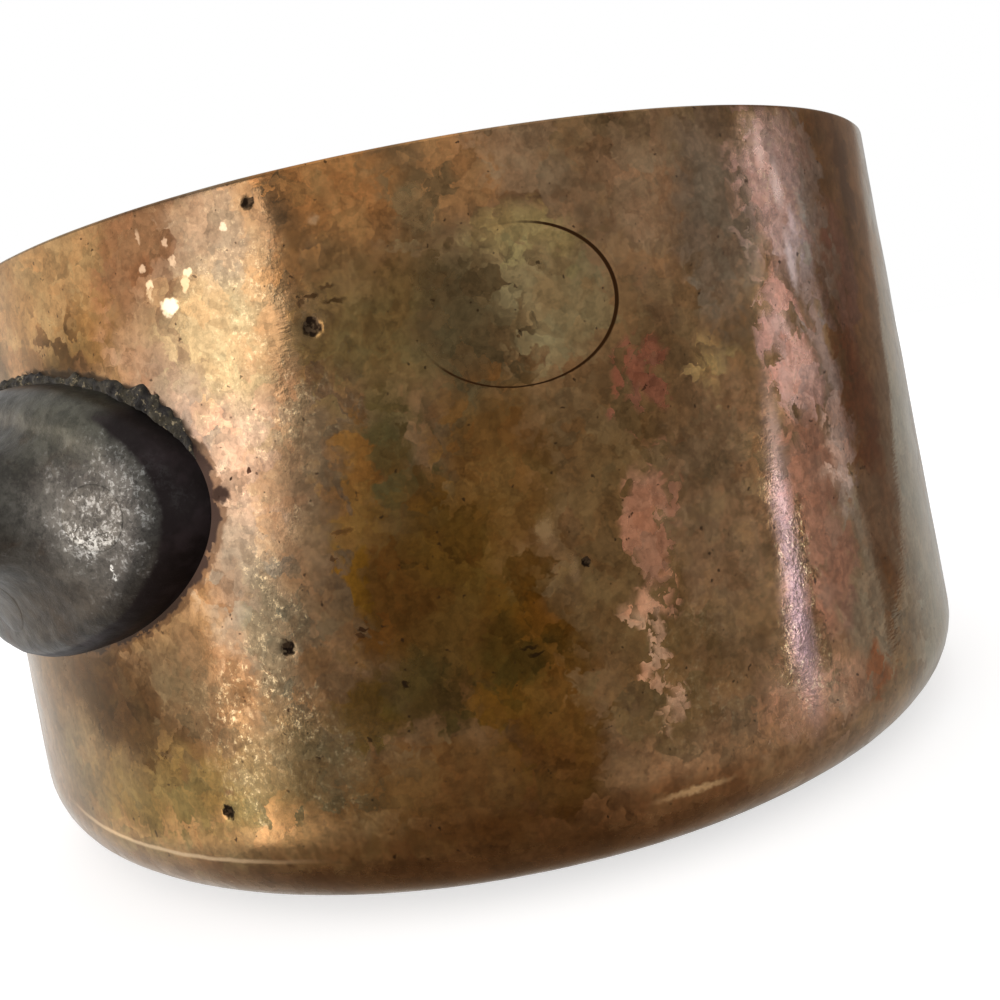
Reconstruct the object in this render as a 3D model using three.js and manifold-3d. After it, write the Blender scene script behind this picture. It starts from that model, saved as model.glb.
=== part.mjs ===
// A straight-sided copper saucepan with a cast-iron stick handle riveted to its side.
// Millimetres, +Z up. The origin is the centre of the base and the handle points along +X.
import * as THREE from 'three';
import { mergeVertices } from 'three/addons/utils/BufferGeometryUtils.js';
import Module from 'manifold-3d';

const wasm = await Module();
wasm.setup();

// Gap left between pieces that touch on the real pan
const seatGap = 0.3;

// Pan body, raised from one copper sheet
const panRadius = 80;
const panHeight = 86;
const wallThickness = 2;
const baseThickness = 2.2;
const cornerRadius = 11.5;
const rimChamfer = 0.3;
const panSegments = 72;
const cornerSteps = 5;

// Tin wiped over the inside of the copper, ending just below the rim
const tinThickness = 0.3;
const tinBelowRim = 0.6;

// Oval pad of the handle, which lies against the wall
const padHeight = 52;
const padWidth = 58.6;
const padTall = 35;
const padEdge = 1.8;
const padEdgeRadius = 4.5;
const padDome = 1.8;
const padFlarePower = 6;

// Shaft of the handle, from the neck behind the pad to the tip
const neckLift = 4;
const handleReach = 190;
const handleRise = 60;
const handleEndSlope = 0.25;
const neckDistance = 32;
const neckWidth = 16;
const neckThickness = 12;
const waistDistance = 74;
const waistWidth = 14.5;
const waistThickness = 11;
const sectionSquareness = 2.5;
const handleSides = 32;

// Flattened end of the handle, with a pear-shaped eye to hang the pan by
const endLength = 31;
const endWidth = 29;
const endThickness = 7;
const endSwell = 1.6;
const tipRoundLength = 15;
const tipThinning = 0.35;
const eyeWidth = 13;
const eyeNarrowWidth = 6;
const eyeLength = 25;
const eyeFromTip = 8;

// Three copper rivets: domed heads inside, tails filed flush with the pad
const rivetFromSide = 9.8;
const rivetFromBottom = 8.5;
const rivetHeadWidth = 14;
const rivetHeadHeight = 3.4;
const rivetHeadEdge = 0.9;
const rivetShankWidth = 6.6;
const rivetCountersink = 1.5;
const rivetTailSlope = 0.3;
const rivetTailStock = 8;
const rivetSegments = 24;

// Materials
const copper = new THREE.MeshStandardMaterial({ color: 0x8f6238, roughness: 0.42, metalness: 0.9 });
const tin = new THREE.MeshStandardMaterial({ color: 0x9c9a92, roughness: 0.45, metalness: 0.85 });
const iron = new THREE.MeshStandardMaterial({ color: 0x413c38, roughness: 0.6, metalness: 0.7 });
const rivetCopper = new THREE.MeshStandardMaterial({ color: 0x7a5640, roughness: 0.5, metalness: 0.85 });

// Keeps only positions, merges shared vertices and drops the empty triangles on an axis.
function solid(geometry) {
  geometry.deleteAttribute('normal');
  geometry.deleteAttribute('uv');
  const merged = mergeVertices(geometry, 1e-4);
  const corners = merged.index.array;
  const triangles = [];
  for (let i = 0; i < corners.length; i += 3) {
    const [a, b, c] = [corners[i], corners[i + 1], corners[i + 2]];
    if (a !== b && b !== c && c !== a) triangles.push(a, b, c);
  }
  const vertProperties = new Float32Array(merged.attributes.position.array);
  const triVerts = new Uint32Array(triangles);
  return new wasm.Manifold(new wasm.Mesh({ numProp: 3, vertProperties, triVerts }));
}

// A named mesh from a cut and joined solid.
function piece(name, body, material) {
  const { vertProperties, triVerts } = body.getMesh();
  const geometry = new THREE.BufferGeometry();
  geometry.setAttribute('position', new THREE.BufferAttribute(vertProperties, 3));
  geometry.setIndex(new THREE.BufferAttribute(triVerts, 1));
  geometry.computeVertexNormals();
  const mesh = new THREE.Mesh(geometry, material);
  mesh.name = name;
  return mesh;
}

// A profile of [radius, height] points turned round the pan's upright axis.
function turned(profile) {
  const points = profile.map(([radius, height]) => new THREE.Vector2(radius, height));
  return new THREE.LatheGeometry(points, panSegments).rotateX(Math.PI / 2);
}

// One side of a bowl: from the axis along its floor, round the corner and up to a height.
function bowlSide(radius, floor, corner, top) {
  const side = [[0, floor]];
  for (let step = 0; step <= cornerSteps; step++) {
    const angle = (step / cornerSteps) * (Math.PI / 2);
    side.push([
      radius - corner + corner * Math.sin(angle),
      floor + corner - corner * Math.cos(angle),
    ]);
  }
  side.push([radius, top]);
  return side;
}

// The copper's two faces and the tin's inner face
const innerRadius = panRadius - wallThickness;
const innerCorner = Math.max(cornerRadius - wallThickness, 2 * tinThickness);
const tinRadius = innerRadius - tinThickness;
const tinTop = panHeight - tinBelowRim;
const rimEdge = panHeight - rimChamfer;
const outerSide = bowlSide(panRadius, 0, cornerRadius, rimEdge);
const innerSide = bowlSide(innerRadius, baseThickness, innerCorner, rimEdge);
const tinOuterSide = bowlSide(innerRadius, baseThickness, innerCorner, tinTop);
const tinInnerSide = bowlSide(
  tinRadius,
  baseThickness + tinThickness,
  innerCorner - tinThickness,
  tinTop,
);
const rim = [
  [panRadius - rimChamfer, panHeight],
  [innerRadius + rimChamfer, panHeight],
];
const copperShell = solid(turned([...outerSide, ...rim, ...innerSide.reverse()]));
const tinShell = solid(turned([...tinOuterSide, ...tinInnerSide.reverse()]));

// An upright round block about the pan's axis, taller than the whole pan.
function uprightBlock(radius) {
  const tall = panHeight + handleRise;
  return solid(turned([[0, -tall], [radius, -tall], [radius, tall], [0, tall]]));
}

// Height of the handle's centre line above the base, at a distance out from the wall.
function centreHeight(distance) {
  const t = distance / handleReach;
  const rise = handleRise * (3 * t ** 2 - 2 * t ** 3);
  return padHeight + neckLift + rise + handleEndSlope * handleReach * (t ** 3 - t ** 2);
}

// Slope of the centre line there, as rise over run.
function centreSlope(distance) {
  const t = distance / handleReach;
  return (handleRise / handleReach) * 6 * (t - t ** 2) + handleEndSlope * (3 * t ** 2 - 2 * t);
}

function mix(from, to, share) {
  return from + (to - from) * share;
}

function smooth(share) {
  const t = Math.min(Math.max(share, 0), 1);
  return t * t * (3 - 2 * t);
}

// The pad's rings: a root buried in the pan, the upright edge, its rounding, and the dome that
// flares into the neck. Each has its distance out from the wall, its width across and its tall
// size, and the height of its centre. wrap is 1 where a ring bends round the wall, 0 where flat.
const padFront = padEdge + padEdgeRadius;
function padRings() {
  const buried = -panRadius / 4;
  const whole = { width: padWidth, tall: padTall, height: padHeight, wrap: 1 };
  const rings = [
    { ...whole, distance: buried },
    { ...whole, distance: padEdge },
  ];
  const roundSteps = 4;
  for (let step = 1; step <= roundSteps; step++) {
    const angle = (step / roundSteps) * (Math.PI / 2);
    const inset = padEdgeRadius * (1 - Math.cos(angle));
    rings.push({
      distance: padEdge + padEdgeRadius * Math.sin(angle),
      width: padWidth - 2 * inset,
      tall: padTall - 2 * inset,
      height: padHeight,
      wrap: 1,
    });
  }
  const flareSteps = 12;
  for (let step = 1; step <= flareSteps; step++) {
    const share = Math.sin((step / flareSteps) * (Math.PI / 2));
    const dome = padDome * Math.sin(share * (Math.PI / 2));
    const flare = (neckDistance - padFront - padDome) * share ** padFlarePower;
    const distance = padFront + dome + flare;
    rings.push({
      distance,
      width: mix(padWidth - 2 * padEdgeRadius, neckWidth, share),
      tall: mix(padTall - 2 * padEdgeRadius, neckThickness, share),
      height: mix(padHeight, centreHeight(distance), share),
      wrap: 1 - smooth(share),
    });
  }
  return rings;
}

// The shaft's rings, from past the neck through the waist to the flattened, rounded end.
function shaftRings() {
  const rings = [];
  const addRing = (distance, width, tall) => {
    rings.push({ distance, width, tall, height: centreHeight(distance), wrap: 0 });
  };
  const waistSteps = 4;
  for (let step = 1; step <= waistSteps; step++) {
    const share = step / waistSteps;
    addRing(
      mix(neckDistance, waistDistance, share),
      mix(neckWidth, waistWidth, smooth(share)),
      mix(neckThickness, waistThickness, smooth(share)),
    );
  }
  const swellSteps = 9;
  for (let step = 1; step <= swellSteps; step++) {
    const share = step / swellSteps;
    addRing(
      mix(waistDistance, handleReach - endLength, share),
      mix(waistWidth, endWidth, smooth(share) ** endSwell),
      mix(waistThickness, endThickness, smooth(share)),
    );
  }
  const tipSteps = 6;
  const tipBlunt = 0.2;
  for (let step = 0; step <= tipSteps; step++) {
    const angle = (step / (tipSteps + tipBlunt)) * (Math.PI / 2);
    addRing(
      handleReach + tipRoundLength * (Math.sin(angle) - 1),
      endWidth * Math.cos(angle),
      endThickness * Math.cos(angle) ** tipThinning,
    );
  }
  return rings;
}

// One point of a ring, at an angle round its section: an oval on the pad, squarer on the shaft.
function ringPoint(ring, angle) {
  const power = mix(2 / sectionSquareness, 1, ring.wrap);
  const bow = (value) => Math.sign(value) * Math.abs(value) ** power;
  const across = (ring.width / 2) * bow(Math.cos(angle));
  const up = (ring.tall / 2) * bow(Math.sin(angle));
  const tilt = Math.atan(centreSlope(ring.distance)) * (1 - ring.wrap);
  const reach = panRadius + seatGap + ring.distance;
  const bend = reach - Math.sqrt(reach ** 2 - across ** 2);
  return [
    reach - bend * ring.wrap - up * Math.sin(tilt),
    across,
    ring.height + up * Math.cos(tilt),
  ];
}

// A closed skin over rings of equal point counts, with a flat fan on each end.
function loft(rings) {
  const positions = [];
  for (const ring of rings) {
    for (let side = 0; side < handleSides; side++) {
      positions.push(...ringPoint(ring, (side / handleSides) * 2 * Math.PI));
    }
  }
  const indices = [];
  for (let row = 0; row < rings.length - 1; row++) {
    for (let side = 0; side < handleSides; side++) {
      const next = (side + 1) % handleSides;
      const [a, b] = [row * handleSides + side, row * handleSides + next];
      const [c, d] = [a + handleSides, b + handleSides];
      indices.push(a, b, d, a, d, c);
    }
  }
  const last = (rings.length - 1) * handleSides;
  for (let side = 1; side < handleSides - 1; side++) {
    indices.push(0, side + 1, side);
    indices.push(last, last + side, last + side + 1);
  }
  const geometry = new THREE.BufferGeometry();
  geometry.setAttribute('position', new THREE.Float32BufferAttribute(positions, 3));
  geometry.setIndex(indices);
  return geometry;
}

// The pear-shaped hole through the flattened end, wide towards the tip.
function eyeCut() {
  const wide = eyeWidth / 2;
  const narrow = eyeNarrowWidth / 2;
  const apart = eyeLength - wide - narrow;
  const tangent = Math.acos((narrow - wide) / apart);
  const outline = new THREE.Shape();
  outline.absarc(0, 0, wide, -tangent, tangent);
  outline.absarc(-apart, 0, narrow, tangent, 2 * Math.PI - tangent);
  const distance = handleReach - eyeFromTip - wide;
  const depth = 4 * endThickness;
  return new THREE.ExtrudeGeometry(outline, { depth, bevelEnabled: false, curveSegments: 14 })
    .translate(0, 0, -depth / 2)
    .rotateY(-Math.atan(centreSlope(distance)))
    .translate(panRadius + seatGap + distance, 0, centreHeight(distance));
}

// Lays a shape made upright on the pan's axis out through the wall, at a rivet's place.
function atRivet(geometry, place) {
  return geometry.rotateZ(-Math.PI / 2).rotateZ(place.angle).translate(0, 0, place.height);
}

// Shank and flared tail. extra widens it into the hole it passes through.
function rivetShank(place, extra) {
  const radius = rivetShankWidth / 2 + extra;
  const start = tinRadius - rivetHeadHeight / 2;
  const flareStart = panRadius + seatGap + padFront - rivetCountersink;
  const end = flareStart + rivetTailStock;
  const profile = [
    [0, start],
    [radius, start],
    [radius, flareStart],
    [radius + rivetTailSlope * rivetTailStock, end],
    [0, end],
  ].map(([r, along]) => new THREE.Vector2(r, along));
  return solid(atRivet(new THREE.LatheGeometry(profile, rivetSegments), place));
}

// Low dome inside the pan. Its back is left long here and cut to the tin's curve.
function rivetHead(place) {
  const top = tinRadius - rivetHeadHeight;
  const edge = tinRadius - rivetHeadEdge;
  const profile = [];
  const domeSteps = 5;
  for (let step = 0; step <= domeSteps; step++) {
    const angle = (step / domeSteps) * (Math.PI / 2);
    profile.push([(rivetHeadWidth / 2) * Math.sin(angle), edge - (edge - top) * Math.cos(angle)]);
  }
  profile.push([rivetHeadWidth / 2, panRadius], [0, panRadius]);
  const points = profile.map(([r, along]) => new THREE.Vector2(r, along));
  return solid(atRivet(new THREE.LatheGeometry(points, rivetSegments), place));
}

// The rivets stand on the pad's two lobes and below its neck
const spreadAngle = Math.asin((padWidth / 2 - rivetFromSide) / panRadius);
const rivets = [
  { name: 'rivet_left', angle: spreadAngle, height: padHeight },
  { name: 'rivet_right', angle: -spreadAngle, height: padHeight },
  { name: 'rivet_lower', angle: 0, height: padHeight - padTall / 2 + rivetFromBottom },
];

// Cut and join
const casting = solid(loft([...padRings(), ...shaftRings()]));
const insideTin = uprightBlock(tinRadius - seatGap);
let panBody = copperShell;
let tinLining = tinShell;
let handle = casting.subtract(uprightBlock(panRadius + seatGap)).subtract(solid(eyeCut()));
const saucepan = new THREE.Group();
for (const rivet of rivets) {
  const hole = rivetShank(rivet, seatGap);
  panBody = panBody.subtract(hole);
  tinLining = tinLining.subtract(hole);
  handle = handle.subtract(hole);
  const head = rivetHead(rivet).intersect(insideTin);
  const tail = rivetShank(rivet, 0).intersect(casting);
  saucepan.add(piece(rivet.name, head.add(tail), rivetCopper));
}
saucepan.add(piece('pan_body', panBody, copper));
saucepan.add(piece('tin_lining', tinLining, tin));
saucepan.add(piece('handle', handle, iron));

export default saucepan;
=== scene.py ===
import math

import bmesh
import bpy
import numpy as np
from mathutils import Matrix, Vector, noise
from mathutils.bvhtree import BVHTree


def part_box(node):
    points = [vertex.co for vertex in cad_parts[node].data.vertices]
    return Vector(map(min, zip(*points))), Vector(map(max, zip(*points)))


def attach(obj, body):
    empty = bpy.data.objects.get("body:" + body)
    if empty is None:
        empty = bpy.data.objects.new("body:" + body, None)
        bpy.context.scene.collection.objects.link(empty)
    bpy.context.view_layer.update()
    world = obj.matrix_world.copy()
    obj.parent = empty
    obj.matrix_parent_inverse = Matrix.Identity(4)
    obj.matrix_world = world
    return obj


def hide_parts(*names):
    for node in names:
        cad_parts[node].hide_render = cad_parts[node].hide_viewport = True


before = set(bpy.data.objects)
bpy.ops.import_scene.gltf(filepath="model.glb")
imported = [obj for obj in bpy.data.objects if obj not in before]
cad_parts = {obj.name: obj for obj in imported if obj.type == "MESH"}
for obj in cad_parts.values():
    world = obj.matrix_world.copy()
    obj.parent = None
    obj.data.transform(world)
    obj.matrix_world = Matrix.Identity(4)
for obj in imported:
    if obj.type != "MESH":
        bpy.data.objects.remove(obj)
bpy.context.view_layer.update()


# Copper body
# One sheet of copper hammered up into straight walls over a rounded corner, with a plain cut rim.
# It has gone brown with age, is pitted here and there, and has a small oval engraved in the wall.

# Sizes are in millimetres, and times MM they are in metres
MM = 0.001
_, body_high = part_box("pan_body")
PAN_RADIUS = body_high.x / MM
PAN_HEIGHT = body_high.z / MM
WALL = 2.0
BASE = 2.2
CORNER = 11.5
RIM_ROUND = 0.45
CORNER_STEPS = 12
INNER_STEPS = 8
RIM_STEPS = 3

# Places on the wall are given as the photograph shows them: millimetres along the wall to the
# right of the upright line nearest the camera, and millimetres above the base.
NEAR_LINE = math.radians(42.3)

OVAL_ARC = 9.8
OVAL_HEIGHT = 66.3
OVAL_WIDE = 23.4
OVAL_TALL = 18.1
OVAL_GROOVE = 0.5
OVAL_DEPTH = 0.14

# The handle's pad, where it lies on the wall
PAD_HEIGHT = 52
PAD_WIDE = 58.6
PAD_TALL = 35

# Pits in the wall: along the wall, above the base, radius and depth
PITS = [
    (-12.9, 68.2, 0.95, 0.3),
    (-23.0, 33.5, 0.75, 0.25),
    (-35.3, 14.7, 0.75, 0.22),
    (-17.3, 83.0, 0.6, 0.18),
    (11.9, 37.1, 0.45, 0.15),
]

# Shallow dents all over the wall: size, depth and seed
DENTS = [(26, 0.05, 3), (9, 0.018, 8)]
RIPPLE_WAVES = 14

# The mesh is finer on the photographed side, and finest at the oval and the pits
NEAR_HALF = 75
BACK_STEP = 2.2
NEAR_STEP = 1.1
UPWARD_STEP = 1.3
FINE_STEP = 0.3
STEP_GROWTH = 0.3


def stations(start, end, coarse, places):
    """Places from start to end, coarse apart, and closer at each (centre, half width, step)."""
    stops = [start]
    while stops[-1] < end:
        step = coarse
        for centre, half, fine in places:
            away = max(0.0, abs(stops[-1] - centre) - half)
            step = min(step, fine + STEP_GROWTH * away)
        stops.append(stops[-1] + step)
    return start + (np.array(stops) - start) * (end - start) / (stops[-1] - start)


def quarter_turn(steps):
    """The angles of a quarter turn in even steps, with both its ends."""
    return [math.radians(90 * step / steps) for step in range(steps + 1)]


def full_turn(count):
    """This many angles, evenly all the way round."""
    return np.linspace(0, 2 * math.pi, count, endpoint=False)


def rounded(radius, corner, base, angle):
    """A profile's point on a rounded corner: at 0 it meets the base, and at 90 degrees the wall."""
    return radius - corner + corner * math.sin(angle), base + corner - corner * math.cos(angle)


def skinned(rings):
    """A closed skin over rings of equal counts, with a middle point in each end."""
    count = len(rings[0])
    points = np.vstack([*rings, rings[0].mean(axis=0), rings[-1].mean(axis=0)])
    faces = []
    last = len(rings) * count
    for side in range(count):
        beside = (side + 1) % count
        faces.append((last, beside, side))
        for row in range(len(rings) - 1):
            a, b = row * count + side, row * count + beside
            faces.append((a, b, b + count, a + count))
        faces.append((last - count + side, last - count + beside, last + 1))
    return points, faces


def turned_skin(angles, radii, heights):
    """A closed skin round the pan's axis, where each end has its middle point.

    radii and heights have a row for each ring, and a column for each angle or one for all."""
    angles, radii, heights = np.broadcast_arrays(angles, radii, heights)
    rings = np.stack([radii * np.cos(angles), radii * np.sin(angles), heights], axis=2)
    points, faces = skinned(rings)
    points[-2:, :2] = 0
    return points, faces


def meshed(name, points, faces):
    """An object of the scene, from points in metres."""
    mesh = bpy.data.meshes.new(name)
    mesh.from_pydata(points, [], faces)
    made = bpy.data.objects.new(name, mesh)
    bpy.context.scene.collection.objects.link(made)
    return made


def add_piece(name, points, faces, slot, *nodes):
    """A smooth piece from points in millimetres, attached to the part's one body, which hides the nodes
    it stands for. slot is not used.
    """
    piece = meshed(name, (np.asarray(points) * MM).tolist(), faces)
    piece.data.shade_smooth()
    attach(piece, "root")
    if nodes:
        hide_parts(*nodes)
    return piece


def ripple(arc, height, size, seed):
    """A smooth random field over the wall, about -1 to 1, with hollows of this size."""
    random = np.random.default_rng(seed)
    total = np.zeros(np.broadcast(arc, height).shape)
    around = 2 * math.pi * PAN_RADIUS
    for _ in range(RIPPLE_WAVES):
        turns = round(random.uniform(-1, 1) * around / size)
        upward = random.uniform(-1, 1) / size
        phase = random.uniform(0, 2 * math.pi)
        total = total + np.sin(2 * math.pi * (turns * arc / around + upward * height) + phase)
    return total / math.sqrt(RIPPLE_WAVES)


def wall_relief(arc, height):
    """How far the copper stands out of a true cylinder, in millimetres."""
    relief = sum(depth * ripple(arc, height, size, seed) for size, depth, seed in DENTS)
    across = (arc - OVAL_ARC) / (OVAL_WIDE / 2)
    up = (height - OVAL_HEIGHT) / (OVAL_TALL / 2)
    away = np.hypot(across, up)
    off_line = (away - 1) * (OVAL_WIDE + OVAL_TALL) / 4

    # The engraving is worn shallow at its upper left, and the pits have steep sides
    left = np.clip(0.75 + 0.6 * across - 0.35 * up, 0.25, 1)
    relief = relief - OVAL_DEPTH * left * np.exp(-((off_line / (OVAL_GROOVE / 2)) ** 2))
    for pit_arc, pit_height, radius, depth in PITS:
        distance = np.hypot(arc - pit_arc, height - pit_height) / (0.85 * radius)
        relief = relief - depth * np.exp(-(distance ** 3))
    return relief


class Wire:
    """An output in a material's nodes, on which sums are written as on a number."""

    def __init__(self, tree, socket=None):
        self.tree = tree
        self.socket = socket

    def node(self, kind, settings, inputs, output=0):
        """Adds a node: its settings first, then its inputs as values or wires. Gives one output."""
        made = self.tree.nodes.new("ShaderNode" + kind)
        for name, value in settings.items():
            setattr(made, name, value)
        for name, value in inputs.items():
            if isinstance(value, Wire):
                self.tree.links.new(value.socket, made.inputs[name])
            else:
                made.inputs[name].default_value = value
        return Wire(self.tree, made.outputs[output] if made.outputs else None)

    def maths(self, operation, first, second):
        """One Math node."""
        return self.node("Math", {"operation": operation}, {0: first, 1: second})

    def __add__(self, other):
        return self.maths("ADD", self, other)

    def __radd__(self, other):
        return self.maths("ADD", other, self)

    def __sub__(self, other):
        return self.maths("SUBTRACT", self, other)

    def __rsub__(self, other):
        return self.maths("SUBTRACT", other, self)

    def __mul__(self, other):
        return self.maths("MULTIPLY", self, other)

    def __rmul__(self, other):
        return self.maths("MULTIPLY", other, self)

    def split(self):
        """The three numbers of a vector."""
        parts = self.node("SeparateXYZ", {}, {0: self})
        return [Wire(self.tree, output) for output in parts.socket.node.outputs]


half_turn = math.pi * PAN_RADIUS
fine_arcs = [(0, NEAR_HALF, NEAR_STEP), (OVAL_ARC, OVAL_WIDE / 2, FINE_STEP)]
fine_heights = [(OVAL_HEIGHT, OVAL_TALL / 2, FINE_STEP)]
for pit_arc, pit_height, radius, _ in PITS:
    fine_arcs.append((pit_arc, radius, FINE_STEP))
    fine_heights.append((pit_height, radius, FINE_STEP))
arcs = stations(-half_turn, half_turn, BACK_STEP, fine_arcs)[:-1]
wall_heights = stations(CORNER, PAN_HEIGHT - RIM_ROUND, UPWARD_STEP, fine_heights)
inner_radius = PAN_RADIUS - WALL
inner_corner = CORNER - WALL

# The profile runs from the base's middle up the outside, over the rim and down the inside. Its
# three numbers are the radius, the height, and the share of the wall's relief that is there.
profile = [((PAN_RADIUS - CORNER) * share, 0.0, 0.0) for share in (0.1, 0.4, 0.7, 0.85, 0.95)]
for angle in quarter_turn(CORNER_STEPS)[:-1]:
    profile.append((*rounded(PAN_RADIUS, CORNER, 0, angle), math.sin(angle)))
profile += [(PAN_RADIUS, height, 1.0) for height in wall_heights]
rim_bend = [(RIM_ROUND * (1 - math.cos(angle)), PAN_HEIGHT - RIM_ROUND * (1 - math.sin(angle)))
            for angle in quarter_turn(RIM_STEPS)]
profile += [(PAN_RADIUS - lean, height, 1.0) for lean, height in rim_bend[1:]]
profile += [(inner_radius + lean, height, 1.0) for lean, height in reversed(rim_bend)]
for angle in reversed(quarter_turn(INNER_STEPS)):
    profile.append((*rounded(inner_radius, inner_corner, BASE, angle), 0.0))
profile.append((inner_radius * 0.3, BASE, 0.0))
profile = np.array(profile)
radii = profile[:, 0:1] + wall_relief(arcs, profile[:, 1:2]) * profile[:, 2:3]
points, faces = turned_skin(NEAR_LINE + arcs / PAN_RADIUS, radii, profile[:, 1:2])
copper_body = add_piece("copper_body", points, faces, "copper", "pan_body")


# Patches of patina, a few of them lightened as painted highlight: along the wall, above the base,
# half width, half height, softness of the edge, strength, roughness and colour (red, green and blue as
# written for a screen).
PATCHES = [
    (-47, 80, 13, 8, 0.5, 0.9, 0.2, (122, 96, 64)),
    (-43, 73.5, 9, 3.5, 0.7, 0.7, 0.18, (96, 67, 32)),
    (-49, 71, 6, 4, 0.6, 0.9, 0.22, (46, 31, 12)),
    (-31.8, 80.5, 6.4, 8, 0.35, 0.9, 0.26, (100, 70, 48)),
    # Painted highlight in part: these four lighter patches lie where the soft box is reflected
    (-24, 58, 9, 24, 0.4, 0.75, 0.17, (121, 104, 90)),
    (-23, 53, 3.5, 6, 0.6, 0.7, 0.18, (152, 124, 102)),
    (-34, 66, 5, 7, 0.6, 0.7, 0.18, (134, 108, 88)),
    (-24, 69, 8, 8, 0.6, 0.65, 0.18, (134, 116, 80)),
    (-26, 43, 5, 8, 0.6, 0.7, 0.2, (92, 82, 68)),
    (-23.5, 81, 5, 5, 0.6, 0.75, 0.24, (106, 90, 72)),
    (-31.5, 62, 4, 7, 0.6, 0.6, 0.18, (104, 90, 82)),
    (-18, 70, 3, 13, 0.5, 0.75, 0.18, (118, 94, 66)),
    (-8, 75, 8, 4, 0.4, 0.8, 0.22, (126, 92, 56)),
    (-6, 82.5, 8, 4.6, 0.35, 0.9, 0.2, (162, 114, 68)),
    (2.5, 80, 3, 4, 0.4, 0.85, 0.26, (120, 97, 66)),
    (7.5, 82, 4, 4.5, 0.4, 0.85, 0.22, (158, 114, 72)),
    (-4, 66, 10, 8, 0.4, 0.8, 0.24, (110, 89, 53)),
    (13, 67, 7, 8, 0.4, 0.8, 0.22, (138, 118, 82)),
    (11, 73.5, 5, 3, 0.5, 0.8, 0.22, (154, 132, 86)),
    (-17, 48, 5, 14, 0.4, 0.7, 0.22, (106, 82, 56)),
    (-7, 53, 4, 6, 0.4, 0.85, 0.24, (77, 65, 35)),
    (-12, 50, 2.4, 6.5, 0.5, 0.9, 0.22, (124, 87, 42)),
    (-14, 41, 1.6, 4, 0.4, 0.85, 0.22, (125, 86, 22)),
    (-4, 36, 11, 13, 0.3, 0.85, 0.2, (84, 55, 15)),
    (-10, 36, 4, 6, 0.4, 0.8, 0.22, (84, 54, 22)),
    (-9, 26, 6, 4, 0.4, 0.85, 0.24, (68, 53, 26)),
    (-15, 23, 4, 3, 0.4, 0.7, 0.26, (80, 61, 20)),
    (-1, 43, 4, 6, 0.4, 0.7, 0.22, (94, 65, 24)),
    (5, 51, 6, 10, 0.4, 0.8, 0.22, (108, 74, 34)),
    (4, 64.3, 6.2, 8.2, 0.4, 0.9, 0.26, (86, 69, 45)),
    (4.5, 24, 6, 13, 0.35, 0.85, 0.19, (99, 63, 16)),
    (2, 30, 4, 3.5, 0.4, 0.85, 0.24, (70, 52, 20)),
    (-8, 14, 17, 5, 0.5, 0.75, 0.2, (103, 70, 35)),
    (-47, 29, 15, 8, 0.45, 0.9, 0.26, (58, 39, 16)),
    (-57, 31, 7, 8, 0.5, 0.8, 0.26, (46, 28, 9)),
    (-62, 18, 9, 7, 0.5, 0.75, 0.2, (116, 98, 72)),
    (-42, 16, 15, 6, 0.5, 0.8, 0.22, (110, 92, 52)),
    (-38, 31, 5, 7, 0.6, 0.7, 0.22, (108, 88, 64)),
    (-47, 21.5, 3, 1.6, 0.4, 0.8, 0.26, (58, 36, 11)),
    (-23, 35, 3.5, 9, 0.4, 0.8, 0.26, (82, 73, 56)),
    (-26, 20, 8, 6, 0.5, 0.7, 0.26, (92, 82, 58)),
    (-35, 10, 24, 3.4, 0.6, 0.85, 0.2, (142, 114, 78)),
    (13.5, 83, 4, 4, 0.5, 0.7, 0.24, (140, 112, 84)),
    (17, 33, 7, 20, 0.3, 0.75, 0.24, (109, 81, 48)),
    (25, 9.5, 13, 4.5, 0.8, 0.8, 0.2, (160, 124, 90)),
    (21, 40, 2.6, 6.4, 0.25, 0.85, 0.3, (168, 118, 92)),
    (17.8, 25, 0.9, 7, 0.5, 0.9, 0.28, (194, 146, 114)),
    (20, 31, 1.8, 2.4, 0.4, 0.85, 0.3, (208, 148, 114)),
    (22.4, 55, 2.2, 5, 0.25, 0.9, 0.32, (130, 80, 60)),
    (32.4, 55.5, 3, 2.8, 0.7, 0.65, 0.26, (168, 138, 90)),
    (28, 78, 5, 7, 0.4, 0.7, 0.24, (142, 110, 82)),
    (37, 72, 6, 12, 0.4, 0.85, 0.22, (111, 93, 76)),
    (48, 74, 6.5, 10, 0.4, 0.85, 0.34, (176, 142, 133)),
    (51, 67, 2, 4, 0.6, 0.6, 0.26, (176, 158, 160)),
    (44.8, 54.5, 3.5, 8.4, 0.3, 0.95, 0.45, (192, 148, 134)),
    (44.3, 34, 4.8, 15, 0.3, 0.85, 0.26, (146, 104, 84)),
    (51.5, 50, 2.5, 17, 0.4, 0.8, 0.2, (150, 125, 116)),
    (50, 42, 2, 5, 0.5, 0.7, 0.24, (202, 162, 142)),
    (56, 74, 2.5, 12, 0.5, 0.7, 0.2, (152, 138, 130)),
    (59, 46, 4, 12, 0.4, 0.85, 0.18, (102, 64, 43)),
    (61, 64, 3, 9, 0.4, 0.8, 0.2, (118, 88, 80)),
    (67, 77, 3, 9, 0.4, 0.85, 0.18, (56, 29, 11)),
    (56, 31, 6, 7, 0.4, 0.85, 0.2, (124, 104, 84)),
    (51, 19, 6, 7, 0.4, 0.85, 0.2, (128, 108, 86)),
    (51, 13, 3, 3.5, 0.3, 0.9, 0.22, (122, 72, 38)),
    (73, 24, 10, 32, 0.4, 0.7, 0.16, (116, 110, 98)),
    (39, 13, 9, 4, 0.5, 0.75, 0.3, (162, 124, 99)),
]
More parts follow.
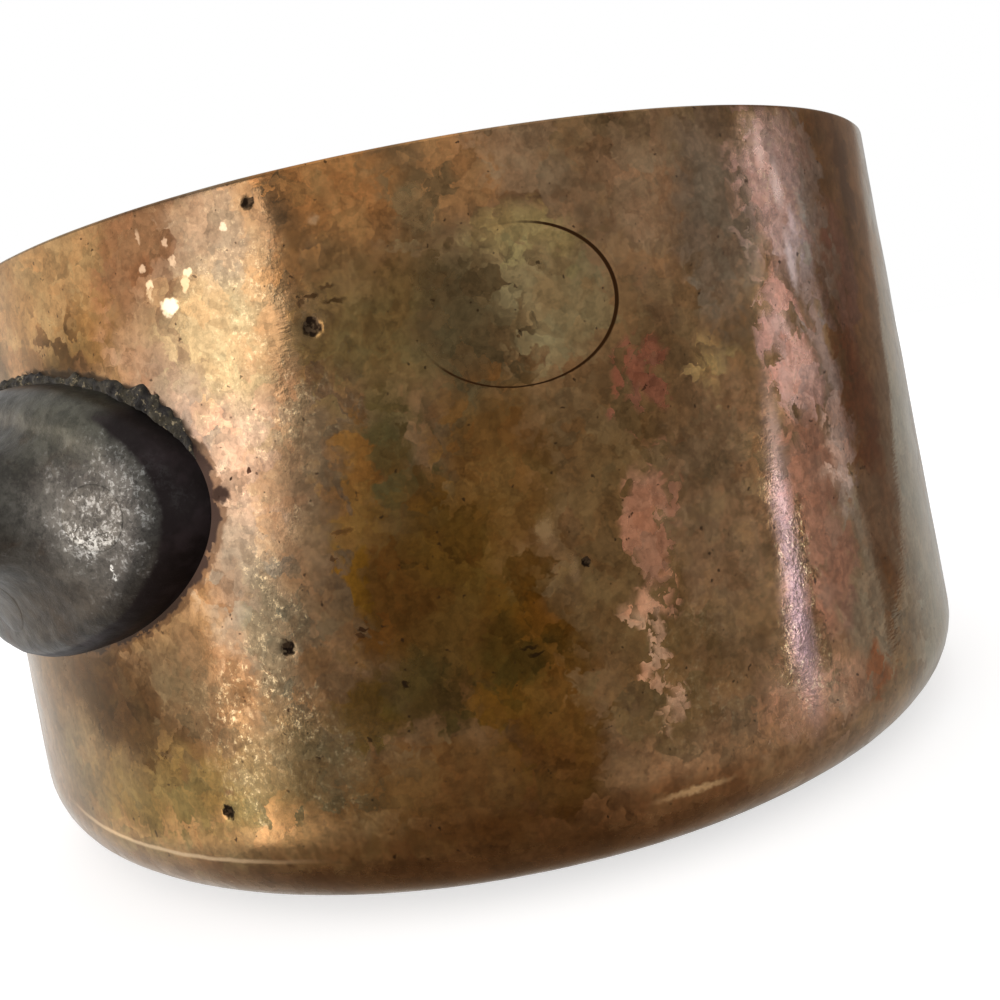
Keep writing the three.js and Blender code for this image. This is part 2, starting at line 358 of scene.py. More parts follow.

# Small marks, some of them painted highlights, in the same terms
MARKS = [
    # Painted highlight: the first three marks tint the strip lamp's reflected streak lilac
    (39.6, 45, 1.2, 7, 0.9, 0.6, 0.18, (136, 114, 104)),
    (38.5, 33, 1.5, 10, 0.9, 0.6, 0.2, (142, 120, 120)),
    (37.7, 21, 1.8, 8, 0.9, 0.6, 0.22, (150, 124, 126)),
    (48.3, 66, 0.6, 3.2, 0.8, 0.7, 0.26, (230, 206, 200)),
    (46.2, 80, 0.8, 1.8, 0.8, 0.6, 0.3, (226, 192, 180)),
    (48.4, 75.5, 0.9, 2.6, 0.8, 0.6, 0.3, (238, 208, 198)),
    (50, 71.2, 0.6, 1.8, 0.8, 0.6, 0.3, (226, 198, 194)),
    (-29.5, 74, 1.1, 0.95, 0.3, 0.95, 0.4, (230, 212, 180)),
    (-26.2, 77.2, 0.55, 0.5, 0.4, 0.9, 0.4, (214, 194, 158)),
    (-26.9, 76, 0.5, 0.9, 0.4, 0.8, 0.4, (200, 176, 138)),
    (-31.8, 77.0, 0.5, 0.45, 0.4, 0.85, 0.4, (206, 184, 150)),
    (-31.9, 75.8, 0.3, 0.8, 0.4, 0.7, 0.4, (190, 164, 128)),
    (-28, 78.8, 0.35, 0.6, 0.4, 0.7, 0.4, (190, 164, 134)),
    (-32.3, 79, 0.45, 0.4, 0.4, 0.7, 0.4, (188, 162, 134)),
    (-32, 82.6, 0.3, 0.8, 0.4, 0.6, 0.4, (180, 152, 124)),
    (-28.5, 81.2, 0.3, 0.5, 0.4, 0.6, 0.4, (188, 160, 132)),
    (-20.8, 81.2, 0.45, 0.4, 0.4, 0.8, 0.4, (200, 180, 152)),
    (-10.4, 79.6, 0.7, 0.5, 0.5, 0.6, 0.4, (180, 146, 108)),
    (8, 41.5, 0.9, 1.2, 0.5, 0.7, 0.4, (160, 128, 88)),
    (10.5, 36.5, 0.5, 1.6, 0.6, 0.4, 0.4, (150, 118, 84)),
    (-12.4, 71.5, 0.9, 0.3, 0.4, 0.9, 0.4, (48, 32, 18)),
    (-9.9, 70.6, 1.2, 0.3, 0.4, 0.85, 0.4, (52, 36, 20)),
    (-10.4, 72.2, 0.9, 0.25, 0.4, 0.8, 0.4, (62, 42, 24)),
    (-13.6, 71.0, 0.4, 0.4, 0.4, 0.8, 0.4, (50, 34, 20)),
    (-27.7, 51.7, 1.2, 0.95, 0.3, 0.95, 0.5, (58, 44, 38)),
    (-26.0, 53.4, 0.28, 0.28, 0.3, 0.9, 0.5, (44, 30, 24)),
    (-23.6, 53.9, 0.28, 0.28, 0.3, 0.9, 0.5, (66, 40, 30)),
    (-34.0, 64.6, 0.3, 0.25, 0.3, 0.8, 0.5, (54, 36, 28)),
    (-13.8, 34.4, 0.7, 0.25, 0.4, 0.9, 0.4, (46, 28, 15)),
    (-14.2, 33.7, 0.5, 0.3, 0.4, 0.8, 0.4, (46, 28, 15)),
    (-14.0, 45.5, 1.4, 0.3, 0.4, 0.7, 0.4, (56, 34, 18)),
    (-15.6, 42.6, 0.5, 0.25, 0.4, 0.8, 0.4, (50, 30, 16)),
    (4, 29.2, 1.0, 0.25, 0.4, 0.8, 0.4, (36, 23, 12)),
    (4.6, 28.3, 0.7, 0.25, 0.4, 0.8, 0.4, (36, 23, 12)),
    (-10.2, 27.6, 0.4, 0.4, 0.4, 0.9, 0.4, (34, 22, 14)),
    (-24.3, 26.5, 0.3, 0.35, 0.3, 0.9, 0.4, (42, 26, 18)),
    (-38.5, 22.0, 1.1, 1.0, 0.4, 0.7, 0.3, (96, 70, 42)),
    (-41.0, 19.5, 0.7, 1.3, 0.4, 0.6, 0.3, (100, 74, 46)),
    (-34.6, 17.2, 0.7, 0.4, 0.5, 0.7, 0.3, (92, 64, 40)),
    # Painted highlights: the last two marks are pale glints along the top of the rounded corner
    (19.5, 8.7, 3.6, 0.45, 0.8, 0.95, 0.14, (255, 226, 180)),
    (40, 8.4, 2, 0.3, 0.8, 0.4, 0.2, (170, 130, 96)),
]

# Where the wall is finely pitted and glitters under a light, in the same terms
GLITTER = [
    (-27, 24, 9, 11, 0.5, 1.0),
    (-22.5, 38, 2.5, 8, 0.6, 0.8),
    (-21, 66, 8, 17, 0.5, 0.6),
    (48, 74, 5, 9, 0.5, 0.9),
    (46, 52, 2, 10, 0.5, 0.3),
    (38.5, 26, 2.5, 16, 0.6, 1.7),
    (22, 20, 7, 10, 0.5, 0.3),
]

# Where the wall is smoother: its gloss is even, and reflections in it have edges
SMOOTH = [
    (60, 45, 17, 40, 0.2, 1.0),
    (38.5, 34, 4.5, 20, 0.4, 0.7),
    (-13, 76, 10, 14, 0.4, 0.7),
]

# A painted highlight, the pale line along the corner: where it starts to climb, its height there,
# how it climbs, and half its width
LINE_START = -34
LINE_HEIGHT = 8.2
LINE_CLIMB = 0.0025
LINE_HALF = 0.55

# Sizes of the skin's flakes, and of its clouds of lighter and darker brown
BROAD_FLAKE = 3.4
FINE_FLAKE = 1.3
WIDE_CLOUD = 22
CLOUD = 7


def paint(red, green, blue):
    """A screen colour as the linear one that the nodes take."""
    linear = [((value / 255 + 0.055) / 1.055) ** 2.4 for value in (red, green, blue)]
    return (*linear, 1)


def grain(place, size, detail=3.0, rough=0.6, output="Fac"):
    """Random noise with lumps of about this size in millimetres."""
    settings = {"Vector": place, "Scale": 1 / size, "Detail": detail, "Roughness": rough}
    return place.node("TexNoise", {}, settings, output)


def between(value, low, high):
    """0 below low, 1 above high and a smooth rise between them. low may be the larger one."""
    span = {"Value": value, "From Min": low, "From Max": high}
    return value.node("MapRange", {"interpolation_type": "SMOOTHSTEP"}, span)


def blend(share, first, second):
    """A colour between two, as far as share says."""
    return share.node("Mix", {"data_type": "RGBA"}, {0: share, 6: first, 7: second}, 2)


def flake(place, size):
    """Random colours in flakes of about this size in millimetres, one for each flake."""
    return place.node("TexVoronoi", {}, {"Vector": place, "Scale": 1 / size}, "Color")


def fitted(place, factors, shift):
    """A vector times factors, and shifted."""
    return place.node("VectorMath", {"operation": "MULTIPLY_ADD"}, {0: place, 1: factors, 2: shift})


def jitter(colours, reach):
    """Random colours as shifts of up to reach each way."""
    return fitted(colours, (2 * reach,) * 3, (-reach,) * 3)


def drift(place, size, reach):
    """A random shift by up to about reach, which changes over this size."""
    return jitter(grain(place, size, 1.0, 0.5, "Color"), 2 * reach)


def added(first, second):
    """Two vectors together."""
    return first.node("VectorMath", {"operation": "ADD"}, {0: first, 1: second})


def length_of(vector):
    """The length of a vector."""
    return vector.node("VectorMath", {"operation": "LENGTH"}, {0: vector}, "Value")


def inside(place, arc, height, wide, tall, edge):
    """1 inside an oval on the wall, 0 outside, and soft at the edge."""
    offset = fitted(place, (1 / wide, 1 / tall, 0), (-arc / wide, -height / tall, 0))
    return between(length_of(offset), 1 + edge, 1 - edge)


def covered(place, ovals):
    """How far any of a list's ovals covers this place: its strength at the most."""
    most = None
    for *oval, strength in ovals:
        share = inside(place, *oval) * strength
        most = share if most is None else most.maths("MAXIMUM", most, share)
    return most


def patched(skin, rough, place, patches):
    """Colour and roughness with a list's patches laid over them, one after another."""
    for *oval, strength, roughness, colour in patches:
        share = inside(place, *oval) * strength
        skin = blend(share, skin, paint(*colour))
        rough = rough + share * (roughness - rough)
    return skin, rough


def scaled(vector, factor):
    """A place made larger or smaller, or a colour made lighter or darker."""
    return vector.node("VectorMath", {"operation": "SCALE"}, {"Vector": vector, "Scale": factor})


def object_place(start):
    """The place on the piece, in millimetres of the part's own frame."""
    return scaled(start.node("TexCoord", {}, {}, "Object"), 1 / MM)


def times(vector, factors):
    """A colour or a place times another vector, number by number."""
    return vector.node("VectorMath", {"operation": "MULTIPLY"}, {0: vector, 1: factors})


def unrolled(place):
    """A place's x, y and z, its distance along the wall and its distance from the pan's axis."""
    x, y, z = place.split()
    arc = (place.maths("ARCTAN2", y, x) - NEAR_LINE) * PAN_RADIUS
    return x, y, z, arc, place.maths("SQRT", x * x + y * y, 0)


def fresh_material(name):
    """A material without nodes, and the wire on which its first nodes are made."""
    made = bpy.data.materials.new(name)
    made.use_nodes = True
    made.node_tree.nodes.clear()
    return made, Wire(made.node_tree)


def metal_of(name, finish, metallic, slant=(1, 1, 1, 1)):
    """A metal whose finish gives its colour, roughness and relief. slant tints it seen edge on."""
    metal, start = fresh_material(name)
    skin, rough, relief = finish(start, object_place(start))
    bumps = start.node("Bump", {}, {"Strength": 1.0, "Distance": MM, "Height": relief})
    sockets = {"Base Color": skin, "Metallic": metallic, "Roughness": rough, "Specular Tint": slant,
               "Normal": bumps}
    surface = start.node("BsdfPrincipled", {}, sockets)
    start.node("OutputMaterial", {}, {"Surface": surface})
    return metal


def aged_copper(start, place):
    """Colour, roughness and relief of the old copper."""
    x, _, z, arc, out = unrolled(place)

    # Under the pan the height counts on below 0, towards the middle
    height = z + out - PAN_RADIUS
    wall = start.node("CombineXYZ", {}, {0: arc, 1: height, 2: 0.0})

    # The skin lies in flakes of two sizes with frayed borders
    frayed = added(place, added(drift(place, 2.2, 0.8), drift(place, 0.6, 0.25)))
    broad = flake(frayed, BROAD_FLAKE)
    fine = flake(frayed, FINE_FLAKE)
    broad_light, broad_hue, broad_rough = broad.split()
    fine_light, fine_hue, fine_rough = fine.split()

    # Generic patina, the same all round
    wide = grain(place, WIDE_CLOUD, 4.0, 0.6)
    middle = grain(place, CLOUD, 5.0, 0.6)
    skin = blend(between(wide, 0.38, 0.62), paint(106, 80, 52), paint(120, 92, 66))
    skin = blend(between(middle + 0.06 * broad_hue, 0.53, 0.61) * 0.45, skin, paint(134, 98, 64))
    skin = blend(between(middle + 0.06 * broad_hue, 0.5, 0.42) * 0.5, skin, paint(88, 70, 48))
    rough = 0.13 + 0.1 * wide

    # The patches that the photograph shows, with torn edges
    torn = added(added(wall, drift(place, 13, 1.8)), drift(place, 4, 1.0))
    torn = added(torn, added(jitter(broad, 1.7), jitter(fine, 0.8)))
    skin, rough = patched(skin, rough, torn, PATCHES)

    # Mottling: lighter and darker, and redder and greener, flake by flake and in clouds
    small = grain(place, 1.1, 3.0, 0.65)
    streaks = grain(times(place, (1, 1, 0.3)), 2.2, 4.0, 0.6)
    light = 0.57 + 0.32 * broad_light + 0.28 * fine_light + 0.14 * between(middle, 0.42, 0.56)
    light = light + 0.12 * between(streaks, 0.4, 0.6) + 0.24 * between(small, 0.4, 0.6)
    border = place.node("TexVoronoi", {"feature": "DISTANCE_TO_EDGE"},
                        {"Vector": frayed, "Scale": 1 / FINE_FLAKE}, "Distance")
    light = light - 0.08 * between(border, 0.1, 0.02)
    skin = scaled(skin, light)
    hue = 0.5 * broad_hue + 0.2 * fine_hue + 0.3 * between(middle, 0.44, 0.56)
    skin = times(skin, blend(hue, (1.1, 0.97, 0.88, 1), (0.9, 1.02, 1.06, 1)))

    # Glittering pitted places
    pitted = covered(torn, GLITTER) * (0.25 + 0.75 * between(middle, 0.42, 0.56))
    sparks = grain(place, 0.55, 2.0, 0.6)
    spots = grain(place, 0.8, 4.0, 0.8)
    skin = blend(pitted * between(spots, 0.52, 0.68) * 0.6, skin, paint(208, 186, 146))
    skin = blend(pitted * between(spots, 0.46, 0.34) * 0.6, skin, paint(66, 50, 34))

    # A brown film and dark dirt lie in the seam round the handle's pad, and a narrow painted reflection
    # of the pad's dark side lies at the contact
    near_pad = added(place, added(jitter(fine, 0.3), drift(place, 2, 0.4)))
    near_pad = fitted(near_pad, (0, 2 / PAD_WIDE, 2 / PAD_TALL), (0, 0, -2 * PAD_HEIGHT / PAD_TALL))
    pad_away = length_of(near_pad)
    _, _, pad_up = near_pad.split()
    front = between(x, 0, 10)
    film = between(pad_away, 1.06, 1.045) * front
    skin = blend(film * 0.75, skin, paint(70, 50, 34))
    dirt = between(pad_away - 0.06 * between(pad_up, 0.2, 0.6), 1.05, 1.01)
    dirt = dirt * between(pad_up, 0.1, 0.45) * front
    skin = blend(dirt * 0.9, skin, paint(50, 42, 34))
    # Painted reflection: a narrow dark band at the contact line stands in for the pad's side mirrored in
    # the wall
    painted_pad_reflection = between(pad_away, 1.032, 1.018) * front
    skin = blend(painted_pad_reflection * 0.9, skin, paint(34, 26, 24))
    rough = rough + dirt * 0.4

    # Small marks, the pits' dark hollows and the engraved ring
    exact = added(wall, drift(place, 0.7, 0.28))
    skin, rough = patched(skin, rough, exact, MARKS)
    pit_dirt = blend(between(small, 0.5, 0.6), paint(24, 16, 12), paint(70, 56, 42))
    for arc_at, height_at, radius, _ in PITS:
        share = inside(exact, arc_at, height_at, radius * 1.15, radius * 1.15, 0.2)
        skin = blend(share * 0.95, skin, pit_dirt)
        rough = rough + share * 0.5
    dots = between(grain(place, 1.0, 2.0, 0.5), 0.29, 0.26)
    skin = blend(dots * 0.75, skin, paint(44, 29, 18))
    oval = fitted(wall, (2 / OVAL_WIDE, 2 / OVAL_TALL, 0),
                  (-2 * OVAL_ARC / OVAL_WIDE, -2 * OVAL_HEIGHT / OVAL_TALL, 0))
    across, up, _ = oval.split()
    off_line = place.maths("ABSOLUTE", length_of(oval) - 1, 0)
    right = between(across, -0.2, 1)
    line = between(off_line - 0.01 * right, 0.018, 0.006)
    kept = between(across * 0.8 - up * 0.55 + 0.7 * grain(place, 2.5), -0.4, 0.3)
    skin = blend(line * kept, skin, paint(54, 32, 14))

    # The rounded corner is browner: partly from the hob, and partly painted shade for the darkness it
    # reflects
    hob_brown_and_shade = between(height, 8.6, 4.5)
    skin = blend(hob_brown_and_shade * 0.4, skin, paint(104, 72, 42))
    rough = rough + hob_brown_and_shade * 0.1

    # A painted highlight: a pale line runs along the corner at the left, and climbs towards its left end
    bend = place.maths("MAXIMUM", LINE_START - arc, 0)
    line_off = height - LINE_HEIGHT - LINE_CLIMB * bend * bend + 0.5 * (grain(place, 3) - 0.5)
    corner_highlight = between(line_off.maths("ABSOLUTE", line_off, 0), LINE_HALF, 0.1)
    corner_highlight = corner_highlight * between(arc, -20, -36) * between(arc, -75, -60)
    skin = blend(corner_highlight * 0.75, skin, paint(214, 184, 146))

    # The underside is darker still
    skin = blend(between(height, 2, -6) * 0.8, skin, paint(44, 34, 26))

    # The flakes have their own gloss, which fades with the relief where the wall is smooth
    even = covered(wall, SMOOTH)
    rough = rough * (0.75 + 0.3 * broad_rough + 0.2 * fine_rough) * (1 - 0.45 * even)
    relief = (0.006 * middle + 0.005 * small + 0.0025 * sparks) * (1 - 0.75 * even)
    relief = relief + 0.022 * pitted * sparks
    scratches = grain(times(place, (0.25, 0.25, 1)), 0.35, 1.0)
    return skin, rough, relief + 0.013 * even * scratches


copper = metal_of("aged_copper", aged_copper, metallic=0.98, slant=(1, 0.94, 0.86, 1))
copper_body.data.materials.append(copper)


# Tin lining
# Tin wiped over the inside of the copper with a rag while molten, from the base to just below the
# rim. It is thin, grey and streaked by the rag, with brown stains and dark specks from cooking.
TIN = 0.3
TIN_BELOW_RIM = 0.6
TIN_EDGE = 0.15
TIN_GAP = 0.03
TIN_SIDES = 180
TIN_STEPS = 10
TIN_UPWARD_STEP = 3.0

tin_back = inner_radius - TIN_GAP
tin_front = inner_radius - TIN
tin_base = BASE + TIN_GAP
tin_top = PAN_HEIGHT - TIN_BELOW_RIM
tin_bend = quarter_turn(TIN_STEPS)

# The profile runs up the back of the tin, over its edge and down its front
profile = [(tin_back * share, tin_base) for share in (0.3, 0.7)]
profile += [rounded(tin_back, inner_corner, tin_base, angle) for angle in tin_bend]
profile += [(tin_back, tin_top - TIN_EDGE), (tin_back - TIN_EDGE / 2, tin_top)]
wall_stops = stations(BASE + inner_corner, tin_top - TIN_EDGE, TIN_UPWARD_STEP, [])[::-1]
profile += [(tin_front, height) for height in wall_stops]
front_base = BASE + TIN
for angle in reversed(tin_bend[:-1]):
    profile.append(rounded(tin_front, inner_corner - TIN, front_base, angle))
profile += [(tin_front * share, front_base) for share in (0.8, 0.65, 0.5, 0.35, 0.2, 0.1)]
profile = np.array(profile)
points, faces = turned_skin(full_turn(TIN_SIDES), profile[:, 0:1], profile[:, 1:2])
tin_skin = add_piece("tin_skin", points, faces, "tin", "tin_lining")


def wiped_tin(start, place):
    """Colour, roughness and relief of wiped tin."""
    # The rag's streaks run round the pan, ten times as long as they are wide
    x, y, z = place.split()
    from_axis = place.maths("SQRT", x * x + y * y, 0)
    round_axis = place.maths("ARCTAN2", y, x) * (PAN_RADIUS * 0.1)
    swept = start.node("CombineXYZ", {}, {0: round_axis, 1: z, 2: from_axis})
    cloudy = grain(place, 22, 4.0, 0.55)
    streaky = grain(swept, 4.0, 4.0, 0.6)
    skin = blend(between(cloudy, 0.36, 0.64), paint(172, 168, 160), paint(140, 134, 125))
    skin = blend(between(streaky, 0.48, 0.68) * 0.5, skin, paint(200, 198, 191))
    skin = blend(between(streaky, 0.45, 0.3) * 0.4, skin, paint(112, 104, 95))
    stains = between(grain(place, 12, 4.0, 0.6), 0.56, 0.7)
    skin = blend(stains * 0.4, skin, paint(128, 106, 82))
    specks = between(grain(place, 1.4, 2.0, 0.6), 0.68, 0.74)
    skin = blend(specks * 0.7, skin, paint(60, 48, 38))
    rough = 0.26 + 0.2 * streaky + 0.1 * stains
    relief = 0.05 * streaky + 0.015 * grain(place, 1.2, 3.0)
    return skin, rough, relief


tin_skin.data.materials.append(metal_of("wiped_tin", wiped_tin, metallic=0.9))


# Handle
# One iron casting: a domed oval pad bent to the wall, a neck that flares out of it, a slender
# shaft, and a flattened end with a pear-shaped eye. Black from years of use, bright where worn.

# The pad's gap to the wall, in the solid and as it shows
SEAT = 0.3
SEAT_SHOWN = 0.1

# The pad: its straight edge, the rounding over that, its dome, how sharply the neck flares out of
# it, and how far the shaft's centre line lies above its middle there
PAD_EDGE = 1.8
PAD_ROUND = 4.5
PAD_FRONT = PAD_EDGE + PAD_ROUND
PAD_DOME = 1.8
FLARE_POWER = 6
NECK_LIFT = 4

# The shaft: its reach and rise, the slope of its end, and place and section of neck and waist
REACH = 190
RISE = 60
END_SLOPE = 0.25
NECK_OUT = 32
NECK_WIDE = 16
NECK_THICK = 12
WAIST_OUT = 74
WAIST_WIDE = 14.5
WAIST_THICK = 11
SQUARENESS = 2.5

# The flattened end and its eye
END_LONG = 31
END_WIDE = 29
END_THICK = 7
END_SWELL = 1.6
TIP_ROUND = 15
TIP_THINNING = 0.35
EYE_WIDE = 13
EYE_NARROW = 6
EYE_LONG = 25
EYE_FROM_TIP = 8

# The mesh, the mould's lumps as sizes and strengths, and where the pad's filed edge starts
CAST_SIDES = 96
EDGE_STEPS = 12
FLARE_STEPS = 40
NECK_STEPS = 20
SHAFT_STEPS = 40
TIP_STEPS = 16
EYE_STEPS = 24
SKIN_STEP = 0.42
SKIN_SMOOTHING = 8
CAST_GRAIN = 0.1
CAST_LUMPS = [(3.2, 1), (1.4, 0.6), (9, 1.2)]
TRUE_EDGE = 0.93


def mix(first, second, share):
    """A number between two."""
    return first + (second - first) * share


def smooth(share):
    """A share from 0 to 1 that starts and ends gently."""
    return share * share * (3 - 2 * share)


def centre_height(out):
    """Height of the shaft's centre line at a distance out from the wall."""
    t = out / REACH
    rise = RISE * (3 * t ** 2 - 2 * t ** 3)
    return PAD_HEIGHT + NECK_LIFT + rise + END_SLOPE * REACH * (t ** 3 - t ** 2)


def centre_slope(out):
    """Slope of the shaft's centre line there."""
    t = out / REACH
    return RISE / REACH * (6 * t - 6 * t ** 2) + END_SLOPE * (3 * t ** 2 - 2 * t)


def section(out, wide, tall, height, wrap):
    """One ring of the casting. wrap is 1 on the pad, which is bent to the wall, and 0 on the shaft."""
    angles = full_turn(CAST_SIDES)
    power = mix(2 / SQUARENESS, 1, wrap)
    across = wide / 2 * np.sign(np.cos(angles)) * np.abs(np.cos(angles)) ** power
    up = tall / 2 * np.sign(np.sin(angles)) * np.abs(np.sin(angles)) ** power
    tilt = math.atan(centre_slope(out)) * (1 - wrap)
    reach = PAN_RADIUS + SEAT + out
    bend = reach - np.sqrt(reach ** 2 - across ** 2)
    return np.stack([reach - bend * wrap - up * math.sin(tilt), across, height + up * math.cos(tilt)], 1)


seat_out = SEAT_SHOWN - SEAT
rings = []
for share in (0.25, 0.5, 0.75, 0.9, 1):
    rings.append(section(seat_out, PAD_WIDE * share, PAD_TALL * share, PAD_HEIGHT, 1))
for angle in quarter_turn(EDGE_STEPS):
    inset = PAD_ROUND * (1 - math.cos(angle))
    out = PAD_EDGE + PAD_ROUND * math.sin(angle)
    rings.append(section(out, PAD_WIDE - 2 * inset, PAD_TALL - 2 * inset, PAD_HEIGHT, 1))
for angle in quarter_turn(FLARE_STEPS)[1:]:
    share = math.sin(angle)
    dome = PAD_DOME * math.sin(math.radians(90 * share))
    out = PAD_FRONT + dome + (NECK_OUT - PAD_FRONT - PAD_DOME) * share ** FLARE_POWER
    wide = mix(PAD_WIDE - 2 * PAD_ROUND, NECK_WIDE, share)
    tall = mix(PAD_TALL - 2 * PAD_ROUND, NECK_THICK, share)
    height = mix(PAD_HEIGHT, centre_height(out), share)
    rings.append(section(out, wide, tall, height, 1 - smooth(share)))
for step in range(1, NECK_STEPS + 1):
    share = step / NECK_STEPS
    out = mix(NECK_OUT, WAIST_OUT, share)
    wide = mix(NECK_WIDE, WAIST_WIDE, smooth(share))
    thick = mix(NECK_THICK, WAIST_THICK, smooth(share))
    rings.append(section(out, wide, thick, centre_height(out), 0))
for step in range(1, SHAFT_STEPS + 1):
    share = step / SHAFT_STEPS
    out = mix(WAIST_OUT, REACH - END_LONG, share)
    wide = mix(WAIST_WIDE, END_WIDE, smooth(share) ** END_SWELL)
    thick = mix(WAIST_THICK, END_THICK, smooth(share))
    rings.append(section(out, wide, thick, centre_height(out), 0))

# The last ring stops just short of the tip
for step in range(TIP_STEPS + 1):
    angle = math.radians(90 * step / (TIP_STEPS + 0.4))
    out = REACH + TIP_ROUND * (math.sin(angle) - 1)
    thick = END_THICK * math.cos(angle) ** TIP_THINNING
    rings.append(section(out, END_WIDE * math.cos(angle), thick, centre_height(out), 0))
points, faces = skinned(rings)

# The back's middle point lies on the curve of the wall, further out than the mean of its rim
points[-2] = (PAN_RADIUS + SEAT_SHOWN, 0, PAD_HEIGHT)
iron_handle = add_piece("iron_handle", points, faces, "iron", "handle")

# The eye is cut out of the flattened end: a wide round towards the tip and a narrow one before it
eye_out = REACH - EYE_FROM_TIP - EYE_WIDE / 2
eye_apart = EYE_LONG - EYE_WIDE / 2 - EYE_NARROW / 2
eye_lean = math.acos((EYE_NARROW / 2 - EYE_WIDE / 2) / eye_apart)
outline = []
for step in range(EYE_STEPS + 1):
    angle = mix(-eye_lean, eye_lean, step / EYE_STEPS)
    outline.append((EYE_WIDE / 2 * math.cos(angle), EYE_WIDE / 2 * math.sin(angle)))
for step in range(EYE_STEPS + 1):
    angle = mix(eye_lean, 2 * math.pi - eye_lean, step / EYE_STEPS)
    outline.append((EYE_NARROW / 2 * math.cos(angle) - eye_apart, EYE_NARROW / 2 * math.sin(angle)))
eye_slope = math.atan(centre_slope(eye_out))
eye_rings = []
for rise in (-2 * END_THICK, 2 * END_THICK):
    ring = [(along * math.cos(eye_slope) - rise * math.sin(eye_slope) + PAN_RADIUS + SEAT + eye_out,
             across,
             along * math.sin(eye_slope) + rise * math.cos(eye_slope) + centre_height(eye_out))
            for along, across in outline]
    eye_rings.append(np.array(ring))
points, faces = skinned(eye_rings)
cutter = meshed("eye_cutter", (points * MM).tolist(), faces)


def applied(piece, kind, **settings):
    """Adds a modifier to a piece, and keeps its result as the piece's mesh."""
    modifier = piece.modifiers.new(kind.lower(), kind)
    for name, value in settings.items():
        setattr(modifier, name, value)
    graph = bpy.context.evaluated_depsgraph_get()
    mesh = bpy.data.meshes.new_from_object(piece.evaluated_get(graph))
    piece.modifiers.clear()
    piece.data = mesh


applied(iron_handle, "BOOLEAN", object=cutter, operation="DIFFERENCE", solver="EXACT")
cutter_mesh = cutter.data
bpy.data.objects.remove(cutter)
bpy.data.meshes.remove(cutter_mesh)
applied(iron_handle, "REMESH", mode="VOXEL", voxel_size=SKIN_STEP * MM)
applied(iron_handle, "SMOOTH", factor=0.5, iterations=SKIN_SMOOTHING)
iron_handle.data.shade_smooth()

# The sand of the mould leaves a lumpy skin, which sets in from 1 to 5 mm off the wall. The pad's
# back is filed to the wall, and its edge there is a true oval.
skin_points = [vertex.co.copy() for vertex in iron_handle.data.vertices]
skin_normals = [vertex.normal.copy() for vertex in iron_handle.data.vertices]
moved = []
for co, normal in zip(skin_points, skin_normals):
    at = co / MM
    lumps = sum(strength * noise.noise(at / size) for size, strength in CAST_LUMPS)
    from_wall = math.hypot(at.x, at.y) - PAN_RADIUS
    free = min(1.0, max(0.0, (from_wall - 1) / 4))
    at = at + normal * (lumps * CAST_GRAIN * free)
    up = at.z - PAD_HEIGHT
    away = math.hypot(2 * at.y / PAD_WIDE, 2 * up / PAD_TALL)
    if from_wall < PAD_EDGE and away > TRUE_EDGE:
        at.y /= away
        at.z = PAD_HEIGHT + up / away
        at.x = math.sqrt((PAN_RADIUS + from_wall) ** 2 - at.y ** 2)
    moved.extend(at * MM)
iron_handle.data.vertices.foreach_set("co", moved)
iron_handle.data.update()


# Worn and darker places on the pad's front, where the dark ones low down are painted shade: along the
# wall, above the base, half width, half height, softness of the edge, strength and colour
PAD_MARKS = [
    (-38.5, 64.5, 9, 5.5, 0.6, 0.85, (98, 96, 84)),
    (-48, 42, 12, 6, 0.6, 0.8, (62, 54, 45)),
    (-33, 43, 6, 6, 0.6, 0.8, (46, 38, 34)),
    (-37, 52, 8, 8, 0.6, 0.7, (94, 91, 86)),
]

# Where the pad is rubbed bright: the same terms without a colour
WORN = [
    (-37, 52.5, 7, 8, 0.7, 0.5),
    (-39.8, 50.2, 3.0, 2.4, 0.8, 0.9),
    (-31.8, 55, 1.9, 3.4, 0.7, 0.8),
    (-38.9, 45.6, 0.6, 0.5, 0.3, 1.3),
]


def rubbed_iron(place, arc, height):
    """Colour of the pad's worn front, how worn it is, and the noise of its flecks."""
    wall = place.node("CombineXYZ", {}, {0: arc, 1: height, 2: 0.0})
    torn = added(added(wall, drift(place, 5, 1.2)), drift(place, 1.2, 0.6))
    cloudy = grain(place, 8, 4.0, 0.6)
    skin = blend(between(cloudy, 0.38, 0.62), paint(74, 70, 64), paint(92, 89, 82))
    skin = blend(between(cloudy, 0.42, 0.34) * 0.6, skin, paint(80, 64, 50))
    for *oval, strength, colour in PAD_MARKS:
        skin = blend(inside(torn, *oval) * strength, skin, paint(*colour))
    worn = covered(torn, WORN)

    # Bright flecks where the skin is rubbed through, and dull ones between them
    speck, dark_speck, _ = flake(added(place, drift(place, 0.5, 0.2)), 0.34).split()
    flecks = 0.65 * grain(place, 0.75, 4.0, 0.75) + 0.2 * speck
    scuffs = grain(place, 2.4, 4.0, 0.7)
    shine = between(flecks + 0.18 * worn + 0.4 * scuffs, 0.72, 0.92)
    skin = blend(shine * (0.1 + 0.65 * worn), skin, paint(210, 210, 206))
    dull = between(0.65 * flecks + 0.2 * dark_speck + 0.3 * scuffs, 0.5, 0.4)
    skin = blend(dull * (0.2 + 0.5 * worn), skin, paint(44, 41, 40))
    skin = scaled(skin, 0.55 + 0.32 * between(scuffs, 0.4, 0.6) + 0.2 * worn)
    return skin, worn, flecks


